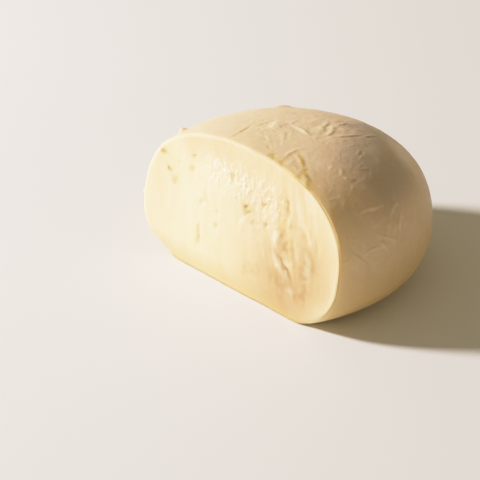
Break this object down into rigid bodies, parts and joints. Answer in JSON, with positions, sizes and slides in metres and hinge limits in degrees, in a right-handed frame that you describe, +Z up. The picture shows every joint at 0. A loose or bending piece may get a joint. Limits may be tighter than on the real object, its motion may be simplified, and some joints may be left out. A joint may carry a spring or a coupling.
{
  "type": "mozzarella ball with a slice cut off",
  "caption": "Oval fresh mozzarella ball resting on its own flattened base, with one side cut away to show the smooth pale inside under a thin wrinkled skin.",
  "frame": {"origin": "middle of the footprint's box, on the flat base the ball rests on", "axes": "+Z up; -Y is the side that was cut away, so the cut face looks towards -Y and a little up; +X runs along the cut face"},
  "size_m": [0.088, 0.066, 0.047],
  "materials": {
    "curd": "moist, softly satin, translucent curd"
  },
  "bodies": {
    "root": {"mozzarella_ball": "curd"}
  },
  "joints": []
}
